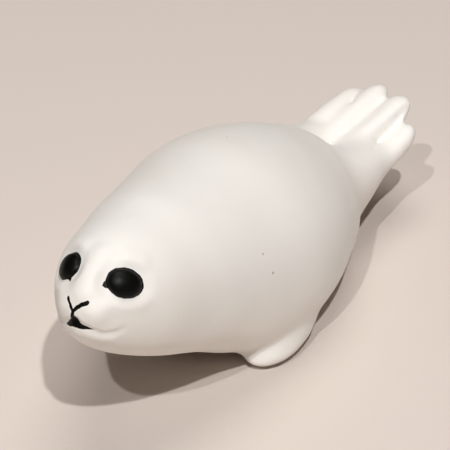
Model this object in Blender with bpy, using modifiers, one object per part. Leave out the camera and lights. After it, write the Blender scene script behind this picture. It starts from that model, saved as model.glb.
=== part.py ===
# Seal figurine: one solid moulding of a seal pup lying on its belly.
# The snout points to -Y, the seal's left is +X, +Z is up and the belly rests on Z = 0.
# All sizes are in metres.

import math

import bmesh
import bpy
import numpy as np
from mathutils import Vector

# Body, from the tip of the snout to the end of the rump, measured along the spine.
SNOUT_Y = -0.0372
BODY_LENGTH = 0.062
REAR_BEND = math.radians(12.0)  # how far the hindquarters turn to the seal's left
BEND_START = 0.5  # share of the spine where that turn begins
SNOUT_ROUNDING = 0.22  # share of the spine taken by the round end of the head
RUMP_ROUNDING = 0.16  # share of the spine taken by the round end of the rump
SPINE_SHARE = 0.45  # height of the widest line between belly and back

# Body sections at equal steps from snout to rump.
BODY_HALF_WIDTHS = (0.0063, 0.0086, 0.0106, 0.0129, 0.0144, 0.0133, 0.0102, 0.0074)
BODY_TOPS = (0.029, 0.0284, 0.0278, 0.0269, 0.026, 0.0235, 0.0193, 0.0151)
BODY_BELLIES = (0.0143, 0.0107, 0.0062, 0.001, -0.0006, -0.0006, -0.0005, 0.0003)
BODY_FULLNESS = (2.0, 2.0, 2.2, 2.5, 2.6, 2.6, 2.4, 2.2)  # below the widest line, 2 is an ellipse

# Fore flippers, each a flat paddle from inside the body out to the ground beside it.
# Points are (across, along, up) from under the tip of the snout, for the seal's left.
FORE_PATH = (
    (0.008, 0.0396, 0.0032), (0.0095, 0.0356, 0.003), (0.0099, 0.0312, 0.0024), (0.0085, 0.0252, 0.0015)
)
FORE_HALF_WIDTHS = (0.0032, 0.0033, 0.0033, 0.0031)
FORE_HALF_THICKNESSES = (0.0024, 0.0024, 0.0022, 0.0017)
FORE_ROUNDING = 0.3

# Hind flippers, four toes that rise from the rump, listed from the seal's right.
# Points are (across, along, up) from the end of the rump, along the turned tail.
TAIL_TURN = math.radians(17.0)
TOE_1_PATH = (
    (-0.0043, -0.008, 0.0085), (-0.0051, -0.001, 0.0109), (-0.0051, 0.0045, 0.0132), (-0.0052, 0.0108, 0.0148)
)
TOE_2_PATH = (
    (-0.002, -0.008, 0.0085), (-0.0023, 0.0, 0.011), (-0.0024, 0.006, 0.0136), (-0.0022, 0.0126, 0.0158)
)
TOE_3_PATH = (
    (0.002, -0.008, 0.0085), (0.0017, 0.0, 0.011), (0.0017, 0.006, 0.0132), (0.002, 0.0123, 0.0158)
)
TOE_4_PATH = (
    (0.0046, -0.008, 0.0065), (0.0052, -0.001, 0.0088), (0.0052, 0.0045, 0.011), (0.0052, 0.01, 0.0134)
)
TOE_1_HALF_WIDTHS = (0.0026, 0.0026, 0.0023, 0.0016)
TOE_2_HALF_WIDTHS = (0.0024, 0.0023, 0.0021, 0.0019)
TOE_3_HALF_WIDTHS = (0.0024, 0.0022, 0.0021, 0.0022)
TOE_4_HALF_WIDTHS = (0.0026, 0.0021, 0.00175, 0.0016)
TOE_HALF_THICKNESSES = (0.0034, 0.0027, 0.0019, 0.0015)
TOE_ROUNDING = 0.14

# The deep slot between the two toes on the seal's left.
SLOT_PATH = (
    (0.0033, 0.0022, 0.0128), (0.0035, 0.006, 0.014), (0.0036, 0.01, 0.0162), (0.0039, 0.014, 0.0184)
)
SLOT_HALF_WIDTH = 0.00045
SLOT_HALF_HEIGHT = 0.0022
SLOT_ROUNDING = 0.25

# Tail stock, the short wedge between the rump and the roots of the toes.
STOCK_PATH = (
    (0.0004, -0.014, 0.007), (0.0004, -0.007, 0.0066), (0.0002, -0.001, 0.0074), (0.0, 0.005, 0.0102)
)
STOCK_HALF_WIDTHS = (0.0075, 0.008, 0.0072, 0.006)
STOCK_HALF_THICKNESSES = (0.005, 0.0042, 0.0026, 0.0016)
STOCK_ROUNDING = 0.25

# Flipper roots, a swelling on each side that carries the rump over into the toes.
ROOT_PATH = (
    (0.0035, -0.016, 0.0115), (0.004, -0.008, 0.0105), (0.0041, -0.002, 0.0102), (0.0042, 0.0055, 0.0112)
)
ROOT_HALF_WIDTHS = (0.005, 0.0051, 0.0042, 0.0027)
ROOT_HALF_THICKNESSES = (0.006, 0.0064, 0.0045, 0.0026)
ROOT_ROUNDING = 0.25

# Face. Each eye is an oval dome in a shallow socket, turned outward and tilted up.
# Points on the face are (across, along, up) from under the tip of the snout.
EYE_CENTER = (0.00345, 0.0052, 0.0244)
EYE_OUTWARD = math.radians(36.0)
EYE_UPWARD = math.radians(33.0)
EYE_ROLL = math.radians(-22.0)  # lowers the outer corner
EYE_HALF_LENGTH = 0.00205
EYE_HALF_HEIGHT = 0.0016
EYE_DOME = 0.0009
SOCKET_HALF_LENGTH = 0.003
SOCKET_HALF_HEIGHT = 0.0024
SOCKET_DEPTH = 0.0014
SOCKET_LIFT = 0.0009  # how far the middle of the socket's oval stands off from the eye

# Muzzle: two pads beside the middle line of the upper lip.
PAD_CENTER = (0.0014, 0.0022, 0.0219)
PAD_RADIUS = 0.00185

# Mouth: a fine crease that rises to the middle, from one cheek round to the other.
MOUTH_PATH = (
    (-0.0049, 0.0035, 0.0206), (-0.0026, 0.0013, 0.0202), (0.0, 0.0002, 0.0214),
    (0.0026, 0.0013, 0.0202), (0.0049, 0.0035, 0.0206)
)
MOUTH_HALF_DEPTH = 0.0007
MOUTH_HALF_HEIGHT = 0.00035
MOUTH_ROUNDING = 0.2

# Skin: the body and flippers are melted into one surface, then again, finer, with the face.
BODY_MELT = 0.00042
BODY_SMOOTHING_COUNT = 12  # passes
FACE_MELT = 0.00025
FACE_SMOOTHING_COUNT = 1  # passes
SOFTNESS = 0.5  # share of the way each point moves in a pass
KEPT_FACES = 0.04  # share of the faces left after thinning

RINGS = 48
SEGMENTS = 64
EYE_RINGS = 14
EYE_SEGMENTS = 28
SPINE_POINTS = 201
PATH_STEP = 0.01  # share of a path looked ahead and behind to find its heading
GROUND_SIZE = 0.2

WHITE = (0.86, 0.83, 0.78, 1.0)
WHITE_ROUGHNESS = 0.42
BLACK = (0.012, 0.012, 0.012, 1.0)
BLACK_ROUGHNESS = 0.3


def clear_scene():
    for old in list(bpy.data.objects):
        bpy.data.objects.remove(old, do_unlink=True)


def new_collection(name):
    made = bpy.data.collections.new(name)
    bpy.context.scene.collection.children.link(made)
    return made


def plastic(name, color, roughness):
    made = bpy.data.materials.new(name)
    made.use_nodes = True
    shader = made.node_tree.nodes["Principled BSDF"]
    shader.inputs["Base Color"].default_value = color
    shader.inputs["Roughness"].default_value = roughness
    shader.inputs["Metallic"].default_value = 0.0
    return made


# A smooth curve through evenly spaced values, read at shares between 0 and 1.
def smooth_through(values, share):
    values = np.asarray(values, float)
    last = len(values) - 1
    before = 2 * values[0] - values[1]
    after = 2 * values[-1] - values[-2]
    padded = np.concatenate([[before], values, [after]])
    place = np.clip(share, 0, 1) * last
    step = np.minimum(place.astype(int), last - 1)
    u = place - step
    a, b, c, d = padded[step], padded[step + 1], padded[step + 2], padded[step + 3]
    rise = c - a
    bend = 2 * a - 5 * b + 4 * c - d
    twist = 3 * (b - c) + d - a
    return b + 0.5 * u * (rise + u * (bend + u * twist))


# Shrinks the sections to a point at both ends, as a quarter of an ellipse at each.
def rounded_ends(share, first, last):
    head = 1 - np.clip(share / first, 0, 1)
    foot = 1 - np.clip((1 - share) / last, 0, 1)
    return np.sqrt(np.clip(1 - head ** 2, 0, 1)) * np.sqrt(np.clip(1 - foot ** 2, 0, 1))


# The centre line of the body seen from above, and the way it points at each share.
def body_spine(share):
    fine = np.linspace(0, 1, SPINE_POINTS)
    turn = np.clip((fine - BEND_START) / (1 - BEND_START), 0, 1)
    heading = REAR_BEND * turn * turn * (3 - 2 * turn)
    step = BODY_LENGTH / (SPINE_POINTS - 1)
    x = np.concatenate([[0], np.cumsum(np.sin(heading[:-1]) * step)])
    y = SNOUT_Y + np.concatenate([[0], np.cumsum(np.cos(heading[:-1]) * step)])
    return np.interp(share, fine, x), np.interp(share, fine, y), np.interp(share, fine, heading)


def face_outward(mesh):
    work = bmesh.new()
    work.from_mesh(mesh)
    bmesh.ops.recalc_face_normals(work, faces=work.faces)
    if work.calc_volume(signed=True) < 0:
        bmesh.ops.reverse_faces(work, faces=work.faces)
    work.to_mesh(mesh)
    work.free()
    mesh.shade_smooth()


def add_object(name, mesh, collection, material):
    made = bpy.data.objects.new(name, mesh)
    mesh.materials.append(material)
    collection.objects.link(made)
    face_outward(mesh)
    return made


# A ball of unit size whose rings become the sections of a soft shape.
# place(share) gives the centre, the heading, the half sizes and the lower half's fullness,
# and rounding the shares taken by the two round ends.
def soft_shape(name, collection, material, place, rounding):
    mesh = bpy.data.meshes.new(name)
    ball = bmesh.new()
    bmesh.ops.create_uvsphere(ball, u_segments=SEGMENTS, v_segments=RINGS, radius=1.0)
    ball.to_mesh(mesh)
    ball.free()
    unit = np.empty(len(mesh.vertices) * 3)
    mesh.vertices.foreach_get("co", unit)
    unit = unit.reshape(-1, 3)
    share = np.clip((1 - unit[:, 2]) / 2, 0, 1)
    around = np.arctan2(unit[:, 1], unit[:, 0])
    x, y, z, heading, half_width, up, down, fullness = place(share)
    ends = rounded_ends(share, rounding[0], rounding[1])
    lower = np.sin(around) < 0
    power = np.where(lower, 2 / fullness, 1.0)
    side = np.sign(np.cos(around)) * np.abs(np.cos(around)) ** power
    lift = np.sign(np.sin(around)) * np.abs(np.sin(around)) ** power
    across = half_width * ends * side
    rise = np.where(lower, down, up) * ends * lift
    points = np.stack([
        x + across * np.cos(heading),
        y - across * np.sin(heading),
        z + rise,
    ], axis=1)
    mesh.vertices.foreach_set("co", points.ravel())
    return add_object(name, mesh, collection, material)


def body_section(share):
    x, y, heading = body_spine(share)
    top = smooth_through(BODY_TOPS, share)
    belly = smooth_through(BODY_BELLIES, share)
    middle = belly + SPINE_SHARE * (top - belly)
    half_width = smooth_through(BODY_HALF_WIDTHS, share)
    fullness = smooth_through(BODY_FULLNESS, share)
    return x, y, middle, heading, half_width, top - middle, middle - belly, fullness


# Sections of a paddle along a path given by its points, turned by an angle and moved.
def paddle_section(path, half_widths, half_thicknesses, origin, turn):
    across_path, along_path, up_path = np.array(path).T

    def section(share):
        across = smooth_through(across_path, share)
        along = smooth_through(along_path, share)
        ahead = np.clip(share + PATH_STEP, 0, 1)
        behind = np.clip(share - PATH_STEP, 0, 1)
        run_across = smooth_through(across_path, ahead) - smooth_through(across_path, behind)
        run_along = smooth_through(along_path, ahead) - smooth_through(along_path, behind)
        heading = turn + np.arctan2(run_across, run_along)
        x = origin[0] + across * math.cos(turn) + along * math.sin(turn)
        y = origin[1] - across * math.sin(turn) + along * math.cos(turn)
        up = smooth_through(up_path, share)
        thick = smooth_through(half_thicknesses, share)
        return x, y, up, heading, smooth_through(half_widths, share), thick, thick, 2.0

    return section


# An oval ball. Its third axis points out of the face, its first towards the outer corner.
def oval_ball(name, collection, material, center, half_sizes, facing, roll, side):
    mesh = bpy.data.meshes.new(name)
    ball = bmesh.new()
    bmesh.ops.create_uvsphere(ball, u_segments=EYE_SEGMENTS, v_segments=EYE_RINGS, radius=1.0)
    flat = Vector((-facing.y, facing.x, 0.0)).normalized()
    if flat.x * side < 0:
        flat.negate()
    rise = facing.cross(flat) * side
    along = flat * math.cos(roll) + rise * math.sin(roll)
    height = rise * math.cos(roll) - flat * math.sin(roll)
    for vert in ball.verts:
        unit = vert.co.copy()
        vert.co = (center + along * unit.x * half_sizes[0] + height * unit.y * half_sizes[1]
                   + facing * unit.z * half_sizes[2])
    ball.to_mesh(mesh)
    ball.free()
    return add_object(name, mesh, collection, material)


# A point of the face, moved to its place at the tip of the snout, on either side.
def on_face(point, side):
    return Vector((side * point[0], SNOUT_Y + point[1], point[2]))


def eye_facing(side):
    level = math.cos(EYE_UPWARD)
    return Vector((side * math.sin(EYE_OUTWARD) * level,
                   -math.cos(EYE_OUTWARD) * level,
                   math.sin(EYE_UPWARD)))


# A cube of the given side whose top lies on Z = 0.
def ground_box(name, collection, side):
    mesh = bpy.data.meshes.new(name)
    cube = bmesh.new()
    bmesh.ops.create_cube(cube, size=side)
    bmesh.ops.translate(cube, vec=(0.0, 0.0, -side / 2), verts=cube.verts)
    cube.to_mesh(mesh)
    cube.free()
    made = bpy.data.objects.new(name, mesh)
    collection.objects.link(made)
    return made


def combine(target, other, operation):
    other.hide_render = True
    other.display_type = "WIRE"
    modifier = target.modifiers.new(operation.lower() + " " + other.name, "BOOLEAN")
    modifier.operation = operation
    modifier.solver = "EXACT"
    modifier.object = other


def join(target, other):
    combine(target, other, "UNION")


def cut(target, other):
    combine(target, other, "DIFFERENCE")


# Melts the joined shapes into one soft skin.
def melt(target, voxel, passes):
    skin = target.modifiers.new("melt", "REMESH")
    skin.mode = "VOXEL"
    skin.voxel_size = voxel
    skin.use_smooth_shade = True
    soften = target.modifiers.new("soften", "SMOOTH")
    soften.factor = SOFTNESS
    soften.iterations = passes


def thin_faces(target):
    thin = target.modifiers.new("thin", "DECIMATE")
    thin.ratio = KEPT_FACES


def build():
    clear_scene()
    figure = new_collection("seal figurine")
    helpers = new_collection("seal helpers")
    helpers.hide_render = True
    white = plastic("white plastic", WHITE, WHITE_ROUGHNESS)
    black = plastic("black paint", BLACK, BLACK_ROUGHNESS)
    nose = (0.0, SNOUT_Y)
    end_x, end_y, _ = body_spine(1.0)
    rump = (end_x, end_y)

    body = soft_shape("seal_body", figure, white, body_section, (SNOUT_ROUNDING, RUMP_ROUNDING))

    for side, name in ((1, "left"), (-1, "right")):
        path = [(side * p[0], p[1], p[2]) for p in FORE_PATH]
        place = paddle_section(path, FORE_HALF_WIDTHS, FORE_HALF_THICKNESSES, nose, 0.0)
        join(body, soft_shape("fore flipper " + name, helpers, white, place, [FORE_ROUNDING] * 2))

    toes = (
        (TOE_1_PATH, TOE_1_HALF_WIDTHS),
        (TOE_2_PATH, TOE_2_HALF_WIDTHS),
        (TOE_3_PATH, TOE_3_HALF_WIDTHS),
        (TOE_4_PATH, TOE_4_HALF_WIDTHS),
    )
    for number, (path, half_widths) in enumerate(toes, 1):
        place = paddle_section(path, half_widths, TOE_HALF_THICKNESSES, rump, TAIL_TURN)
        join(body, soft_shape(f"hind toe {number}", helpers, white, place, [TOE_ROUNDING] * 2))

    place = paddle_section(STOCK_PATH, STOCK_HALF_WIDTHS, STOCK_HALF_THICKNESSES, rump, TAIL_TURN)
    join(body, soft_shape("tail stock", helpers, white, place, [STOCK_ROUNDING] * 2))

    for side, name in ((1, "left"), (-1, "right")):
        path = [(side * p[0], p[1], p[2]) for p in ROOT_PATH]
        place = paddle_section(path, ROOT_HALF_WIDTHS, ROOT_HALF_THICKNESSES, rump, TAIL_TURN)
        join(body, soft_shape("flipper root " + name, helpers, white, place, [ROOT_ROUNDING] * 2))

    place = paddle_section(SLOT_PATH, [SLOT_HALF_WIDTH] * 2, [SLOT_HALF_HEIGHT] * 2, rump, TAIL_TURN)
    cut(body, soft_shape("toe slot", helpers, white, place, [SLOT_ROUNDING] * 2))

    for side, name in ((1, "left"), (-1, "right")):
        pad = oval_ball("muzzle pad " + name, helpers, white, on_face(PAD_CENTER, side),
                        [PAD_RADIUS] * 3, eye_facing(side), 0.0, side)
        join(body, pad)
        facing = eye_facing(side)
        middle = on_face(EYE_CENTER, side) + facing * SOCKET_LIFT
        half_sizes = (SOCKET_HALF_LENGTH, SOCKET_HALF_HEIGHT, SOCKET_DEPTH)
        cut(body, oval_ball("eye socket " + name, helpers, white, middle, half_sizes, facing, EYE_ROLL, side))

    melt(body, BODY_MELT, BODY_SMOOTHING_COUNT)

    for side, name in ((1, "left"), (-1, "right")):
        half_sizes = (EYE_HALF_LENGTH, EYE_HALF_HEIGHT, EYE_DOME)
        join(body, oval_ball("eye " + name, helpers, black, on_face(EYE_CENTER, side),
                             half_sizes, eye_facing(side), EYE_ROLL, side))

    place = paddle_section(MOUTH_PATH, [MOUTH_HALF_DEPTH] * 2, [MOUTH_HALF_HEIGHT] * 2, nose, 0.0)
    cut(body, soft_shape("mouth crease", helpers, white, place, [MOUTH_ROUNDING] * 2))
    melt(body, FACE_MELT, FACE_SMOOTHING_COUNT)
    thin_faces(body)
    cut(body, ground_box("ground", helpers, GROUND_SIZE))


build()
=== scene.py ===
import math
import bmesh
import bpy
import numpy as np
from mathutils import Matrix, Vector


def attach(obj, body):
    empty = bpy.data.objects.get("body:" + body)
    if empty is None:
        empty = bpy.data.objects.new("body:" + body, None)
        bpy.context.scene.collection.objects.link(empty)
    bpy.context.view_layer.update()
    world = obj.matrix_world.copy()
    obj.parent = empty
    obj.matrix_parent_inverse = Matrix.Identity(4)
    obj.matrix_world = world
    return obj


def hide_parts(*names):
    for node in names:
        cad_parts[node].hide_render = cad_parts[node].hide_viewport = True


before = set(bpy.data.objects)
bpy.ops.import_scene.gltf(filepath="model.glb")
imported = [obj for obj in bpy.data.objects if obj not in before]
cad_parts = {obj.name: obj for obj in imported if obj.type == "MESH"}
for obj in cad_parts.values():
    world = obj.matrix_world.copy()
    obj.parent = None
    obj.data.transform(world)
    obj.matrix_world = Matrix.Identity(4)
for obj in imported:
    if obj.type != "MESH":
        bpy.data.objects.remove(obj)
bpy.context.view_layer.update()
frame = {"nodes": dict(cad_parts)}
print("frame loaded:", ", ".join(frame["nodes"]))

mm = 0.001  # the seal is laid out in millimetres

# how finely each kind of shell is laid out, as (rings, points round a ring)
grids = {"trunk": (96, 128), "paddle": (64, 64), "ball": (24, 32)}


# a smooth curve through evenly spaced values, read at shares between 0 and 1:
# on each span the cubic whose slopes at its ends are half the step between the neighbours
def curveThrough(values, share):
    values = np.asarray(values, float)
    last = len(values) - 1
    padded = np.concatenate([[2 * values[0] - values[1]], values, [2 * values[-1] - values[-2]]])
    place = np.clip(share, 0, 1) * last
    step = np.minimum(place.astype(int), last - 1)
    u = place - step
    a, b, c, d = padded[step], padded[step + 1], padded[step + 2], padded[step + 3]
    return b + 0.5 * u * ((c - a) + u * ((2 * a - 5 * b + 4 * c - d) + u * (3 * (b - c) + d - a)))


# a number that falls smoothly from 1 to 0 while the distance goes from near to far
def fade(distance, near, far):
    t = np.clip((distance - near) / (far - near), 0, 1)
    return 1 - t * t * (3 - 2 * t)


# shares along a shape, close together at both ends, and angles round it
def ringsAndTurns(rings, turns):
    share = (1 - np.cos(np.pi * np.arange(rings + 1) / rings)) / 2
    around = 2 * np.pi * np.arange(turns) / turns
    return share[:, None], around[None, :]


# the surface at (share, around) stands off from the path's point at share, across it by
# width * cos(around) and up by height * sin(around). Both shrink to nothing over the first and
# last shares as a quarter of an ellipse. A fullness above 2 squares the lower half.
def softSurface(place, ends, grid):
    share, around = ringsAndTurns(*grid)
    x, y, z, heading, width, up, down, fullness = place(share)
    head = 1 - np.clip(share / ends[0], 0, 1)
    foot = 1 - np.clip((1 - share) / ends[1], 0, 1)
    shrink = np.sqrt(np.clip(1 - head ** 2, 0, 1) * np.clip(1 - foot ** 2, 0, 1))
    lower = np.sin(around) < 0
    power = np.where(lower, 2 / fullness, 1.0)
    side = np.sign(np.cos(around)) * np.abs(np.cos(around)) ** power
    lift = np.sign(np.sin(around)) * np.abs(np.sin(around)) ** power
    across = width * shrink * side
    rise = np.where(lower, down, up) * shrink * lift
    return np.stack([x + across * np.cos(heading), y - across * np.sin(heading), z + rise], axis=-1)


# a ball: the point at (share, around) is radius away from the centre
def ball(center, radius):
    share, around = ringsAndTurns(*grids["ball"])
    ringRadius = np.sqrt(np.clip(1 - (1 - 2 * share) ** 2, 0, 1))
    return np.stack([center[0] + radius * ringRadius * np.cos(around),
                     center[1] + radius * ringRadius * np.sin(around),
                     center[2] + radius * (1 - 2 * share) + 0 * around], axis=-1)


# faces of a closed grid: quads between rings, and the first and last ring drawn to a point
def closedFaces(rows, columns):
    ring = np.arange(columns)
    after = np.roll(ring, -1)
    start = 1 + np.arange(rows - 3)[:, None] * columns
    near, far = start + ring, start + after
    quads = np.stack([near, far, far + columns, near + columns], axis=-1).reshape(-1, 4)
    final = 1 + (rows - 3) * columns
    tip = final + columns
    first = np.stack([np.zeros(columns, int), 1 + after, 1 + ring], axis=-1)
    last = np.stack([np.full(columns, tip), final + ring, final + after], axis=-1)
    return quads.tolist() + first.tolist() + last.tolist()


def closedMesh(name, surface):
    rows, columns = surface.shape[:2]
    points = np.concatenate([surface[:1, 0], surface[1:-1].reshape(-1, 3), surface[-1:, 0]])
    mesh = bpy.data.meshes.new(name)
    mesh.from_pydata(points.tolist(), [], closedFaces(rows, columns))
    mesh.update()
    work = bmesh.new()
    work.from_mesh(mesh)
    bmesh.ops.recalc_face_normals(work, faces=work.faces)
    work.to_mesh(mesh)
    work.free()
    return mesh


def newObject(name, data):
    made = bpy.data.objects.new(name, data)
    bpy.context.scene.collection.objects.link(made)
    return made


# one mesh that holds all the given ones, which may overlap
def together(name, meshes):
    work = bmesh.new()
    for mesh in meshes:
        work.from_mesh(mesh)
    joined = bpy.data.meshes.new(name)
    work.to_mesh(joined)
    work.free()
    return joined


# the body from the snout to the rump. Sizes along it are evenly spaced, and heights are above
# the ground. The shells are melted into one skin by voxels of the melt size.
seal = {
    "snout": -37.2, "length": 62.0, "spineSteps": 200,
    "rearBend": 12.0, "bendStart": 0.5,
    "headRound": 0.22, "rumpRound": 0.16,
    "widestAt": 0.45,
    "halfWidths": (6.3, 8.6, 10.6, 12.9, 14.4, 13.3, 10.2, 7.4),
    "tops": (29.0, 28.4, 27.8, 26.9, 26.0, 23.5, 19.3, 15.1),
    "bellies": (14.3, 10.7, 6.2, 1.0, -0.6, -0.6, -0.5, 0.3),
    "fullness": (2.0, 2.0, 2.2, 2.5, 2.6, 2.6, 2.4, 2.2),
    "melt": 0.37,
}
muzzlePad = {"center": (1.4, 2.2, 21.9), "radius": 1.85}

# a paddle's path has places (across, along, up), measured from the snout for the fore flippers
# and from the rump for the parts of the tail. Toes are in order from the seal's right.
foreFlipper = {
    "path": ((8.0, 39.6, 3.2), (9.5, 35.6, 3.0), (9.9, 31.2, 2.4), (8.5, 25.2, 1.5)),
    "halfWidths": (3.2, 3.3, 3.3, 3.1), "halfThicknesses": (2.4, 2.4, 2.2, 1.7), "rounding": 0.3,
}
tail = {
    "turn": 17.0,
    "everyToe": {"halfThicknesses": (3.4, 2.7, 1.9, 1.5), "rounding": 0.14},
    "toes": [
        {"path": ((-4.3, -8, 8.5), (-5.1, -1, 10.9), (-5.1, 4.5, 13.2), (-5.2, 10.8, 14.8)),
         "halfWidths": (2.6, 2.6, 2.3, 1.6)},
        {"path": ((-2, -8, 8.5), (-2.3, 0, 11), (-2.4, 6, 13.6), (-2.2, 12.6, 15.8)),
         "halfWidths": (2.4, 2.3, 2.1, 1.9)},
        {"path": ((2, -8, 8.5), (1.7, 0, 11), (1.7, 6, 13.2), (2, 12.3, 15.8)),
         "halfWidths": (2.4, 2.2, 2.1, 2.2)},
        {"path": ((4.6, -8, 6.5), (5.2, -1, 8.8), (5.2, 4.5, 11), (5.2, 10, 13.4)),
         "halfWidths": (2.6, 2.1, 1.75, 1.6)},
    ],
    "stock": {
        "path": ((0.4, -14, 7), (0.4, -7, 6.6), (0.2, -1, 7.4), (0, 5, 10.2)),
        "halfWidths": (7.5, 8, 7.2, 6), "halfThicknesses": (5, 4.2, 2.6, 1.6), "rounding": 0.25,
    },
    "root": {
        "path": ((3.5, -16, 11.5), (4, -8, 10.5), (4.1, -2, 10.2), (4.2, 5.5, 11.2)),
        "halfWidths": (5, 5.1, 4.2, 2.7), "halfThicknesses": (6, 6.4, 4.5, 2.6), "rounding": 0.25,
    },
    "slot": {
        "path": ((3.3, 2.2, 12.8), (3.5, 6, 14), (3.6, 10, 16.2), (3.9, 14, 18.4)),
        "halfWidths": (0.45, 0.45, 0.45, 0.45), "halfThicknesses": (2.2, 1.8, 1.5, 1.4), "rounding": 0.25,
    },
}
headingStep = 0.01  # the share ahead and behind by which a paddle's heading is read


# the body's middle line, seen from above: it runs straight back from the snout, then its heading
# turns by rearBend * t * t * (3 - 2 * t), where t goes from 0 at bendStart to 1 at the rump, and
# each step adds its sine to x and its cosine to y
def spine(share):
    fine = np.linspace(0, 1, seal["spineSteps"] + 1)
    turn = np.clip((fine - seal["bendStart"]) / (1 - seal["bendStart"]), 0, 1)
    heading = math.radians(seal["rearBend"]) * turn * turn * (3 - 2 * turn)
    step = seal["length"] / seal["spineSteps"]
    x = np.concatenate([[0], np.cumsum(np.sin(heading[:-1]) * step)])
    y = seal["snout"] + np.concatenate([[0], np.cumsum(np.cos(heading[:-1]) * step)])
    return np.interp(share, fine, x), np.interp(share, fine, y), np.interp(share, fine, heading)


# the body's section: its widest line lies at belly + widestAt * (top - belly)
def trunk(share):
    x, y, heading = spine(share)
    top, belly = curveThrough(seal["tops"], share), curveThrough(seal["bellies"], share)
    middle = belly + seal["widestAt"] * (top - belly)
    width, fullness = curveThrough(seal["halfWidths"], share), curveThrough(seal["fullness"], share)
    return x, y, middle, heading, width, top - middle, middle - belly, fullness


# a paddle has an oval section along its path, which is turned by an angle about the origin:
# x + across * cos(turn) + along * sin(turn), y - across * sin(turn) + along * cos(turn)
def paddle(part, origin, turn, side=1):
    acrossPath, alongPath, upPath = np.array(part["path"], float).T
    acrossPath = acrossPath * side

    def place(share):
        across, along = curveThrough(acrossPath, share), curveThrough(alongPath, share)
        ahead, behind = np.clip(share + headingStep, 0, 1), np.clip(share - headingStep, 0, 1)
        heading = turn + np.arctan2(
            curveThrough(acrossPath, ahead) - curveThrough(acrossPath, behind),
            curveThrough(alongPath, ahead) - curveThrough(alongPath, behind))
        x = origin[0] + across * math.cos(turn) + along * math.sin(turn)
        y = origin[1] - across * math.sin(turn) + along * math.cos(turn)
        width, thick = curveThrough(part["halfWidths"], share), curveThrough(part["halfThicknesses"], share)
        return x, y, curveThrough(upPath, share), heading, width, thick, thick, 2.0

    return softSurface(place, (part["rounding"], part["rounding"]), grids["paddle"])


# a place given as (across, behind the snout, up), on the seal's left (1) or right (-1)
def fromSnout(place, side=1):
    x, y, z = place
    return np.array([side * x, seal["snout"] + y, z])


nose = (0.0, seal["snout"])
rumpX, rumpY, _ = spine(np.array(1.0))
rump = (float(rumpX), float(rumpY))
tailTurn = math.radians(tail["turn"])

shells = [softSurface(trunk, (seal["headRound"], seal["rumpRound"]), grids["trunk"])]
for side in (1, -1):
    shells.append(paddle(foreFlipper, nose, 0.0, side))
    shells.append(paddle(tail["root"], rump, tailTurn, side))
    shells.append(ball(fromSnout(muzzlePad["center"], side), muzzlePad["radius"]))
for toe in tail["toes"]:
    shells.append(paddle({**toe, **tail["everyToe"]}, rump, tailTurn))
shells.append(paddle(tail["stock"], rump, tailTurn))

# melted into one skin, cut by the slot before the last toe, and melted again
shellObject = newObject("shells", together("shells", [closedMesh("shell", s * mm) for s in shells]))
slotCutter = newObject("slot_cutter", closedMesh("slot_cutter", paddle(tail["slot"], rump, tailTurn) * mm))


def addMelt(name):
    melt = shellObject.modifiers.new(name, "REMESH")
    melt.mode, melt.voxel_size, melt.use_smooth_shade = "VOXEL", seal["melt"] * mm, True


addMelt("first melt")
cut = shellObject.modifiers.new("slot", "BOOLEAN")
cut.operation, cut.solver, cut.object = "DIFFERENCE", "EXACT", slotCutter
addMelt("second melt")
skin = bpy.data.meshes.new_from_object(shellObject.evaluated_get(bpy.context.evaluated_depsgraph_get()))
bpy.data.objects.remove(shellObject)
bpy.data.objects.remove(slotCutter)
print("shells melted:", len(skin.polygons), "faces")


def pointsOf(mesh):
    points = np.empty(len(mesh.vertices) * 3)
    mesh.vertices.foreach_get("co", points)
    return points.reshape(-1, 3) / mm


def putPoints(mesh, points):
    mesh.vertices.foreach_set("co", (points * mm).ravel())
    mesh.update()


def normalsOf(mesh):
    normals = np.empty(len(mesh.vertices) * 3, np.float32)
    mesh.vertex_normals.foreach_get("vector", normals)
    return normals.reshape(-1, 3).astype(float)


# each pass moves a point towards the mean of its neighbours, by its own share of the way
def relax(mesh, amount, passes):
    ends = np.empty(len(mesh.edges) * 2, np.int64)
    mesh.edges.foreach_get("vertices", ends)
    first, second = ends.reshape(-1, 2).T
    points = pointsOf(mesh)
    count = len(points)
    neighbours = np.bincount(first, minlength=count) + np.bincount(second, minlength=count)
    for _ in range(passes):
        total = np.stack([np.bincount(first, points[second, i], count) +
                          np.bincount(second, points[first, i], count) for i in range(3)], axis=1)
        points = points + amount[:, None] * (total / neighbours[:, None] - points)
    putPoints(mesh, points)


# splits every edge that meets a wanted point in two, so that fine shapes fit there
def refine(mesh, wanted):
    work = bmesh.new()
    work.from_mesh(mesh)
    work.verts.ensure_lookup_table()
    chosen = np.flatnonzero(wanted(pointsOf(mesh)))
    marked = {work.verts[i] for i in chosen.tolist()}
    edges = [e for e in work.edges if e.verts[0] in marked or e.verts[1] in marked]
    bmesh.ops.subdivide_edges(work, edges=edges, cuts=1, use_grid_fill=True)
    bmesh.ops.triangulate(work, faces=[f for f in work.faces if len(f.verts) > 4])
    work.to_mesh(mesh)
    work.free()


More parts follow.
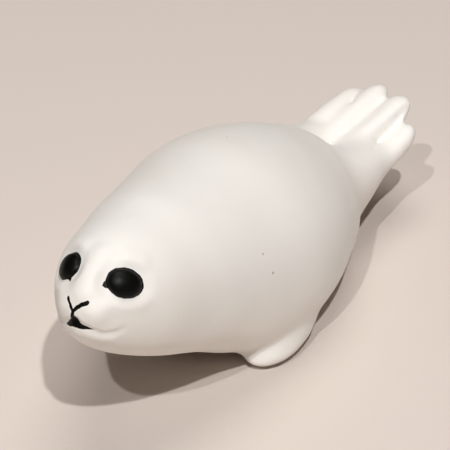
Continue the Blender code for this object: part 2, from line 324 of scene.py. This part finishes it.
# the whole skin is softened, the toes less than the rest, then the places where one form runs
# into the next with no edge are softened more. Places are (across, behind the snout, up).
softening = {
    "strength": 0.5, "passes": 18,
    "toesFrom": 62.0, "toesFull": 67.0, "toesShare": 0.25,
    "places": {
        "hindRoot": {"center": (9.0, 58.5, 13.0), "near": 4.0, "far": 8.0, "passes": 56, "sides": (1,)},
        "thirdToe": {"center": (6.6, 61.0, 13.8), "near": 1.5, "far": 4.5, "passes": 48, "sides": (1,)},
        "midToes": {"center": (3.6, 66.5, 14.2), "near": 1.0, "far": 3.5, "passes": 16, "sides": (1,)},
        "slotRim": {"center": (8.8, 65.5, 13.4), "near": 1.5, "far": 4.0, "passes": 12, "sides": (1,)},
        "foreTop": {"center": (11.3, 31.0, 5.2), "near": 1.5, "far": 5.0, "passes": 40, "sides": (1, -1)},
        "foreFront": {"center": (9.0, 24.5, 3.8), "near": 1.0, "far": 4.0, "passes": 32, "sides": (1, -1)},
    },
    "facePasses": 3, "toePasses": 5, "eyePasses": 3, "lastPasses": 1, "lastStrength": 0.4,
}


def soften(region, passes, strength=softening["strength"]):
    relax(skin, strength * region(pointsOf(skin)), passes)


behind = pointsOf(skin)[:, 1] - seal["snout"]
tailwards = fade(behind, softening["toesFrom"], softening["toesFull"])
toesShare = softening["toesShare"]
relax(skin, softening["strength"] * (toesShare + (1 - toesShare) * tailwards), softening["passes"])
for place in softening["places"].values():
    for side in place["sides"]:
        away = np.linalg.norm(pointsOf(skin) - fromSnout(place["center"], side), axis=1)
        relax(skin, softening["strength"] * fade(away, place["near"], place["far"]), place["passes"])
print("skin softened")

# the face, used on both sides. Places are (across, behind the snout, up).
face = {
    "eyeCenter": (3.45, 5.2, 24.4), "eyeOutward": 36.0, "eyeUpward": 33.0, "eyeRoll": -22.0,
    "eyeHalfLength": 2.05, "eyeHalfHeight": 1.6, "eyeDome": 0.75,
    "socketDepth": 0.32, "socketReach": 1.85,
    "mouth": ((0, 0.3, 21.3), (1.2, 0.5, 20.6), (1.9, 0.9, 20.1), (2.6, 1.5, 19.6), (3.6, 2.35, 19.5),
              (4.6, 3.4, 19.9)),
    "mouthDepth": 0.24, "mouthReach": 0.8, "mouthFull": 3.2, "mouthEnd": 5.2,
}

# soft swellings (+) and dips (-) of the face
faceForms = {
    "brow": {"path": ((3.0, 7.0, 26.6), (4.2, 7.8, 26.1)), "reach": 1.7, "height": 0.16},
    "bridge": {"path": ((0, 6.0, 27.4), (0, 3.6, 26.0), (0, 1.6, 24.4)), "reach": 1.9, "height": 0.22},
    "cheek": {"path": ((3.1, 2.9, 23.0), (4.3, 3.9, 22.7), (5.4, 5.2, 22.5)), "reach": 1.8, "height": 0.16},
    "innerCorner": {"path": ((2.2, 3.0, 25.2), (2.4, 2.7, 24.2)), "reach": 1.9, "height": -0.22},
    "pad": {"path": ((1.3, 0.7, 22.3), (2.2, 1.1, 21.9)), "reach": 1.7, "height": 0.12},
    "chin": {"path": ((0.4, 0.5, 19.6), (1.8, 1.0, 19.1), (3.2, 2.2, 18.4)), "reach": 1.3, "height": 0.12},
}

# the same between the toes: the notch between the first and second, the hollow between the
# second and third, and the slot's start before the fourth
toeForms = {
    "notch": {"path": ((2.0, 69.0, 15.4), (1.95, 70.7, 15.4), (1.95, 72.6, 15.5)), "reach": 0.5,
              "height": -0.3},
    "hollow": {"path": ((4.0, 65.8, 14.0), (4.2, 67.8, 14.9), (4.7, 69.3, 15.3), (5.5, 70.9, 15.7)),
               "reach": 1.0, "height": -0.12},
    "slotStart": {"path": ((8.35, 61.9, 12.9), (8.2, 63.5, 12.7), (8.0, 65.4, 12.3)), "reach": 0.75,
                  "height": -0.4},
}

# the neck: a shallow hollow round the body behind the head, which comes in from low to full height
neck = {"behind": 13.0, "reach": 5.5, "depth": 0.3, "low": 11.0, "full": 16.0}

# the stretches of skin that are worked on. Each Back or Middle is behind the snout, each Low or
# High above the ground, and toesAcross to the seal's left. Round an eye, eyeSizes is how many times
# its size, and each Deep how far in or out.
regions = {
    "faceBack": 9.5, "faceLow": 17.5, "formsBack": 12.0,
    "mouthBack": 3.5, "mouthLow": 18.8, "mouthHigh": 25.0,
    "muzzleBack": 2.5, "muzzleLow": 18.0,
    "eyeSizes": 1.45, "eyeDeep": 3.0, "socketDeep": 4.0,
    "toesMiddle": 66.5, "toesReach": 7.0, "toesAcross": 0.2, "toesLow": 10.5,
}


# an eye's centre, and the directions along it, up it and out of it
def eyeFrame(side):
    outward, upward, roll = (math.radians(face[k]) for k in ("eyeOutward", "eyeUpward", "eyeRoll"))
    level = math.cos(upward)
    out = np.array([side * math.sin(outward) * level, -math.cos(outward) * level, math.sin(upward)])
    flat = np.array([side * math.cos(outward), math.sin(outward), 0.0])
    rise = side * np.cross(out, flat)
    along = flat * math.cos(roll) + rise * math.sin(roll)
    height = rise * math.cos(roll) - flat * math.sin(roll)
    return fromSnout(face["eyeCenter"], side), along, height, out


# where each point is against an eye: along it, up it, out of it, and how many times its size away
def againstEye(points, side):
    center, along, height, out = eyeFrame(side)
    offset = points - center
    u, v, w = offset @ along, offset @ height, offset @ out
    return u, v, w, np.hypot(u / face["eyeHalfLength"], v / face["eyeHalfHeight"])


# a smooth line through places on the seal, six points for each place
def smoothLine(path, side=1):
    shares = np.linspace(0, 1, 6 * len(path))
    return fromSnout([curveThrough(column, shares) for column in np.array(path, float).T], side).T


# the distance from each point to the edge of a brush stroke: the distance to the nearest place on
# its line less the half width there, so it is below nothing inside the stroke
def strokeDistance(points, line, halfWidths):
    start, step = line[:-1], line[1:] - line[:-1]
    toPoint = points[:, None, :] - start
    share = np.clip((toPoint * step).sum(-1) / (step ** 2).sum(-1), 0, 1)
    half = halfWidths[:-1] + share * (halfWidths[1:] - halfWidths[:-1])
    return (np.linalg.norm(toPoint - share[..., None] * step, axis=-1) - half).min(axis=1)


def lineDistance(points, line):
    return strokeDistance(points, line, np.zeros(len(line)))


def onToes(points):
    inLength = np.abs(points[:, 1] - seal["snout"] - regions["toesMiddle"]) < regions["toesReach"]
    return inLength & (points[:, 0] > regions["toesAcross"]) & (points[:, 2] > regions["toesLow"])


def nearFace(points):
    return (points[:, 1] < seal["snout"] + regions["faceBack"]) & (points[:, 2] > regions["faceLow"])


def nearEyesOrMouth(points):
    near = points[:, 1] < seal["snout"] + regions["mouthBack"]
    near &= (points[:, 2] > regions["mouthLow"]) & (points[:, 2] < regions["mouthHigh"])
    for side in (1, -1):
        _, _, w, r = againstEye(points, side)
        near |= (r < regions["eyeSizes"]) & (np.abs(w) < regions["eyeDeep"])
    return near


refine(skin, lambda points: nearFace(points) | onToes(points))
soften(nearFace, softening["facePasses"])

# the soft forms of the face, toes and neck are raised along the skin's normal, by
# height * fade(distance / reach)
points, normals = pointsOf(skin), normalsOf(skin)
rise = np.zeros(len(points))
onFace = np.flatnonzero(points[:, 1] < seal["snout"] + regions["formsBack"])
for name, form in faceForms.items():
    for side in (1,) if name == "bridge" else (1, -1):  # the bridge runs down the middle
        away = lineDistance(points[onFace], smoothLine(form["path"], side))
        rise[onFace] += form["height"] * fade(away, 0, form["reach"])
onTail = np.flatnonzero(onToes(points))
for form in toeForms.values():
    away = lineDistance(points[onTail], smoothLine(form["path"]))
    rise[onTail] += form["height"] * fade(away, 0, form["reach"])
band = fade(np.abs(points[:, 1] - seal["snout"] - neck["behind"]), 0, neck["reach"])
rise -= neck["depth"] * band * (1 - fade(points[:, 2], neck["low"], neck["full"]))
putPoints(skin, points + rise[:, None] * normals)
soften(onToes, softening["toePasses"])

refine(skin, nearEyesOrMouth)
soften(nearEyesOrMouth, softening["eyePasses"])

# each eye is the top of an oval ball set in a shallow hollow, against the skin:
# dome * sqrt(1 - r * r) inside the oval - depth * fade(r), and the mouth is a crease
points, normals = pointsOf(skin), normalsOf(skin)
rise = np.zeros(len(points))
onFace = np.flatnonzero(nearFace(points))
for side in (1, -1):
    _, _, w, r = againstEye(points[onFace], side)
    socket = face["socketDepth"] * fade(r, 1.0, face["socketReach"])
    dome = face["eyeDome"] * np.sqrt(np.clip(1 - r * r, 0, 1))
    rise[onFace] += np.where(np.abs(w) < regions["socketDeep"], dome - socket, 0)
    away = lineDistance(points[onFace], smoothLine(face["mouth"], side))
    depth = face["mouthDepth"] * fade(np.abs(points[onFace, 0]), face["mouthFull"], face["mouthEnd"])
    rise[onFace] -= depth * fade(away, 0, face["mouthReach"])
putPoints(skin, points + rise[:, None] * normals)
soften(nearEyesOrMouth, softening["lastPasses"], softening["lastStrength"])

# it rests on the flat of its belly
points = pointsOf(skin)
points[:, 2] = np.maximum(points[:, 2], 0)
putPoints(skin, points)
sealFigure = newObject("seal_figure", skin)
skin.shade_smooth()
print("face shaped:", sum(len(p.vertices) - 2 for p in skin.polygons), "triangles")

# the paint: brush strokes as seen from the front, each place (across, up, half width), and
# for the eyes (along, up, half width) against the eye. They differ a little from side to side,
# since they were put on by hand. Past unpainted, in millimetres, a point is clear of all paint.
paint = {
    "eyeEdge": 1.05,
    "leftCorner": ((-1.2, -0.4, 1.0), (-1.9, -0.75, 0.42), (-2.3, -0.98, 0.07)),
    "rightCorner": ((-0.8, -0.8, 0.6), (-1.4, -1.3, 0.25), (-1.7, -1.6, 0.05)),
    "strokes": (
        ((-1.34, 23.38, 0.17), (-0.85, 23.0, 0.16), (-0.4, 22.4, 0.18)),
        ((1.08, 23.5, 0.23), (0.6, 23.3, 0.23), (0.1, 22.9, 0.21), (-0.33, 22.4, 0.18)),
        ((-0.35, 22.4, 0.2), (-0.36, 21.9, 0.25), (-0.33, 21.4, 0.3)),
        ((-0.3, 21.45, 0.27), (0.05, 21.1, 0.24), (0.5, 20.87, 0.2), (1.2, 20.58, 0.15), (2.0, 20.23, 0.04)),
        ((-1.5, 20.1, 0.06), (-1.0, 20.4, 0.25), (-0.45, 20.85, 0.45), (0.2, 20.75, 0.3), (0.9, 20.5, 0.2),
         (1.6, 20.3, 0.05)),
    ),
    "unpainted": 9.0,
    "color": (0.0025, 0.0025, 0.002, 1), "roughness": 0.42, "reflection": 0.15, "softEdge": 0.03,
    "waver": {"scale": 1500.0, "detail": 2, "span": (0.3, 0.7)}, "waverWidth": 0.025,
}


def paintStroke(points, stroke):
    stroke = np.array(stroke, float)
    return strokeDistance(points, stroke[:, :2], stroke[:, 2])


# how far outside the paint each point is, in millimetres. The skin keeps how far inside it is.
points = pointsOf(skin)
outside = np.full(len(points), paint["unpainted"])
onFace = np.flatnonzero(nearFace(points))
for side, corner in ((1, "leftCorner"), (-1, "rightCorner")):
    u, v, w, r = againstEye(points[onFace], side)
    spot = (r - paint["eyeEdge"]) * face["eyeHalfHeight"]
    duct = paintStroke(np.stack([u, v], axis=1), paint[corner])
    eye = np.where(np.abs(w) < regions["eyeDeep"], np.minimum(spot, duct), paint["unpainted"])
    outside[onFace] = np.minimum(outside[onFace], eye)
onMuzzle = (points[:, 1] < seal["snout"] + regions["muzzleBack"]) & (points[:, 2] > regions["muzzleLow"])
for stroke in paint["strokes"]:
    away = paintStroke(points[onMuzzle][:, [0, 2]], stroke)
    outside[onMuzzle] = np.minimum(outside[onMuzzle], away)
inPaint = skin.attributes.new("in_paint", "FLOAT", "POINT")
inPaint.data.foreach_set("value", (-outside).astype(np.float32))
print("paint laid out")

# satin white plastic: the white wanders a little in tone, the shine a little in strength, the
# skin is very finely uneven, and a few dark specks sit on it, each (centre, radius). Scales are
# per metre, and depths and radii in millimetres.
plastic = {
    "white": (0.915, 0.885, 0.84, 1), "warmWhite": (0.905, 0.865, 0.81, 1),
    "tone": {"scale": 90.0, "detail": 3, "span": (0.35, 0.65)},
    "shine": {"scale": 260.0, "detail": 4, "span": (0.3, 0.7)}, "roughness": (0.38, 0.5),
    "reflection": 0.25, "sheen": 0.12, "sheenRoughness": 0.5,
    "grain": {"scale": 2600.0, "detail": 4, "depth": 0.01, "strength": 0.12},
    "wave": {"scale": 420.0, "detail": 2, "depth": 0.05, "strength": 0.1},
    "specks": (((11.01, -13.2, 19.48), 0.13), ((12.03, -12.54, 16.69), 0.17), ((-0.52, -0.52, 25.7), 0.1)),
    "speckColor": (0.48, 0.45, 0.41, 1), "speckEdge": 0.08,
}

whitePlastic = bpy.data.materials.new("white_plastic")
whitePlastic.use_nodes = True
nodes, links = whitePlastic.node_tree.nodes, whitePlastic.node_tree.links
shader = nodes["Principled BSDF"]
objectPlace = nodes.new("ShaderNodeTexCoord").outputs["Object"]


def noise(layer):
    made = nodes.new("ShaderNodeTexNoise")
    made.inputs["Scale"].default_value = layer["scale"]
    made.inputs["Detail"].default_value = layer["detail"]
    links.new(objectPlace, made.inputs["Vector"])
    return made.outputs["Fac"]


# a value carried smoothly from one span to another
def spread(value, lowIn, highIn, lowOut, highOut):
    made = nodes.new("ShaderNodeMapRange")
    made.interpolation_type = "SMOOTHSTEP"
    made.inputs["From Min"].default_value, made.inputs["From Max"].default_value = lowIn, highIn
    made.inputs["To Min"].default_value, made.inputs["To Max"].default_value = lowOut, highOut
    links.new(value, made.inputs["Value"])
    return made.outputs["Result"]


# noise that wanders between low and high
def wander(layer, low, high):
    return spread(noise(layer), *layer["span"], low, high)


# first where the share is 0, second where it is 1; each is a fixed value or another node's output
def mix(kind, share, first, second):
    made = nodes.new("ShaderNodeMix")
    made.data_type = kind
    sockets = [s for s in made.inputs if s.enabled]
    links.new(share, sockets[0])
    for socket, value in zip(sockets[1:], (first, second)):
        if isinstance(value, bpy.types.NodeSocket):
            links.new(value, socket)
        else:
            socket.default_value = value
    return [s for s in made.outputs if s.enabled][0]


def bump(layer, under=None):
    made = nodes.new("ShaderNodeBump")
    made.inputs["Distance"].default_value = layer["depth"] * mm
    made.inputs["Strength"].default_value = layer["strength"]
    links.new(noise(layer), made.inputs["Height"])
    if under:
        links.new(under, made.inputs["Normal"])
    return made.outputs["Normal"]


color = mix("RGBA", wander(plastic["tone"], 0, 1), plastic["white"], plastic["warmWhite"])
for center, radius in plastic["specks"]:
    gap = nodes.new("ShaderNodeVectorMath")
    gap.operation = "DISTANCE"
    gap.inputs[1].default_value = [c * mm for c in center]
    links.new(objectPlace, gap.inputs[0])
    inner, outer = (radius - plastic["speckEdge"]) * mm, (radius + plastic["speckEdge"]) * mm
    color = mix("RGBA", spread(gap.outputs["Value"], inner, outer, 1, 0), color, plastic["speckColor"])

# the paint lies where in_paint is above nothing, with an edge that wavers a little
inside = nodes.new("ShaderNodeAttribute")
inside.attribute_name = "in_paint"
wavering = nodes.new("ShaderNodeMath")
wavering.operation = "ADD"
links.new(inside.outputs["Fac"], wavering.inputs[0])
links.new(wander(paint["waver"], -paint["waverWidth"], paint["waverWidth"]), wavering.inputs[1])
covered = spread(wavering.outputs["Value"], -paint["softEdge"], paint["softEdge"], 0, 1)
roughness = mix("FLOAT", covered, wander(plastic["shine"], *plastic["roughness"]), paint["roughness"])
reflection = spread(covered, 0, 1, plastic["reflection"], paint["reflection"])
links.new(mix("RGBA", covered, color, paint["color"]), shader.inputs["Base Color"])
links.new(roughness, shader.inputs["Roughness"])
links.new(reflection, shader.inputs["Specular IOR Level"])
links.new(spread(covered, 0, 1, plastic["sheen"], 0), shader.inputs["Sheen Weight"])
links.new(bump(plastic["wave"], bump(plastic["grain"])), shader.inputs["Normal"])
shader.inputs["Sheen Roughness"].default_value = plastic["sheenRoughness"]
skin.materials.append(whitePlastic)

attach(sealFigure, "root")
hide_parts("seal_body")
print("white plastic and paint made")

# sizes here are in metres. Turns go round from the snout's side to the seal's left, and rises
# are above the floor, both in degrees.
studio = {
    "floorHalf": 0.6, "floorColor": (0.705, 0.623, 0.567, 1), "floorRoughness": 0.9, "floorReflection": 0.1,
    "lamps": {
        "key": {"turn": 37.0, "rise": 55.0, "distance": 0.40, "share": 0.428, "size": 0.010,
                "color": (1.0, 1.0, 1.0)},
        "fill": {"turn": 9.0, "rise": 50.0, "distance": 0.555, "share": 0.207, "size": 0.012,
                 "color": (1.0, 1.0, 1.0)},
        "soft": {"turn": 208.0, "rise": 84.0, "distance": 0.50, "share": 0.385, "size": 0.3,
                 "color": (1.0, 0.955, 0.91)},
    },
    "camera": {"turn": 28.0, "rise": 33.0, "distance": 0.230, "aim": (-0.00128, 0.00039, 0.012),
               "angle": 14.29, "sensor": 36.0, "clip": (0.01, 10.0)},
}


# the unit direction from the middle of the floor towards a lamp or the camera
def direction(turn, rise):
    turn, rise = math.radians(turn), math.radians(rise)
    return Vector((math.sin(turn) * math.cos(rise), -math.cos(turn) * math.cos(rise), math.sin(rise)))


half = studio["floorHalf"]
floorMesh = bpy.data.meshes.new("floor")
corners = [(-half, -half, 0), (half, -half, 0), (half, half, 0), (-half, half, 0)]
floorMesh.from_pydata(corners, [], [(0, 1, 2, 3)])
floor = newObject("floor", floorMesh)
floorPaint = bpy.data.materials.new("floor_paper")
floorPaint.use_nodes = True
paper = floorPaint.node_tree.nodes["Principled BSDF"]
paper.inputs["Base Color"].default_value = studio["floorColor"]
paper.inputs["Roughness"].default_value = studio["floorRoughness"]
paper.inputs["Specular IOR Level"].default_value = studio["floorReflection"]
floorMesh.materials.append(floorPaint)


# a round lamp whose light on the floor in the middle is the given share of a full one
def addLamp(name, lamp):
    toLamp = direction(lamp["turn"], lamp["rise"])
    distance = lamp["distance"]
    data = bpy.data.lights.new(name, "AREA")
    data.shape = "DISK"
    data.size = lamp["size"]
    data.color = lamp["color"]
    # a disk of this power lights a white floor to power * sin(rise) / (pi * distance) ^ 2
    data.energy = lamp["share"] * math.pi ** 2 * distance ** 2 / toLamp.z
    data.use_nodes = True  # the falloff is taken out, as from a lamp far away
    falloff = data.node_tree.nodes.new("ShaderNodeLightFalloff")
    falloff.inputs["Strength"].default_value = 1 / distance ** 2
    glow = data.node_tree.nodes["Emission"]
    data.node_tree.links.new(falloff.outputs["Constant"], glow.inputs["Strength"])
    made = newObject(name, data)
    made.location = toLamp * distance
    made.rotation_euler = toLamp.to_track_quat("Z", "Y").to_euler()


for name, lamp in studio["lamps"].items():
    addLamp(name, lamp)

world = bpy.data.worlds.new("studio")
world.use_nodes = True
world.node_tree.nodes["Background"].inputs["Strength"].default_value = 0  # the lamps give all the light
bpy.context.scene.world = world

view = studio["camera"]
cameraData = bpy.data.cameras.new("camera")
cameraData.sensor_width = view["sensor"]
cameraData.lens = view["sensor"] / 2 / math.tan(math.radians(view["angle"]) / 2)
cameraData.clip_start, cameraData.clip_end = view["clip"]
camera = newObject("camera", cameraData)
back = direction(view["turn"], view["rise"])
camera.location = Vector(view["aim"]) + back * view["distance"]
camera.rotation_euler = back.to_track_quat("Z", "Y").to_euler()
bpy.context.scene.camera = camera
bpy.context.scene.view_settings.view_transform = "Standard"
print("floor, lamps and camera set")
